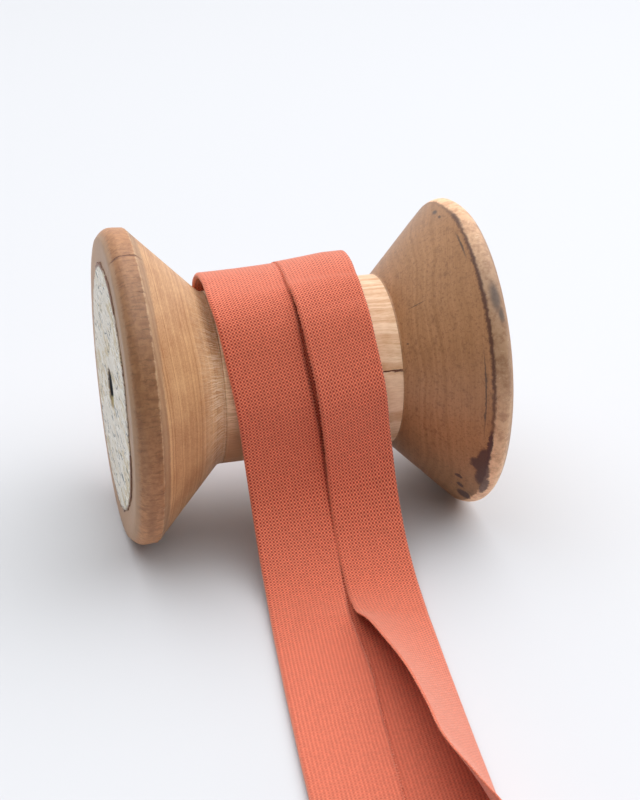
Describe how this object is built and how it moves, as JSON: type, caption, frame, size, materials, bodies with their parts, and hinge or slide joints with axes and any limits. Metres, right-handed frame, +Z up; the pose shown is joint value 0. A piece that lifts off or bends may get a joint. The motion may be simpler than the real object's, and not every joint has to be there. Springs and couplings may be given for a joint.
{
  "type": "folded bias binding on a wooden spool",
  "caption": "Coral bias binding with both edges folded in, draped over a turned wooden spool lying on its side, its loose end opening on the surface.",
  "frame": {"origin": "middle of the bounding box, on the surface that the spool and the binding rest on", "axes": "+X along the spool's axis, from the labelled end to the other; the binding's loose end lies towards -Y; +Z up"},
  "size_m": [0.0624, 0.1337, 0.0531],
  "materials": {
    "light_wood": "bare turned light wood, fine lines along the barrel",
    "brown_wood": "worn turned wood, satin, rings round the cone",
    "dark_wood": "worn darker turned wood, satin, with old stains at the rim",
    "paper": "aged matt paper",
    "cotton": "matt plain-weave cotton cut on the bias"
  },
  "bodies": {
    "root": {"spool_barrel": "light_wood", "flange_left": "brown_wood", "flange_right": "dark_wood", "end_label": "paper", "binding": "cotton"}
  },
  "joints": []
}
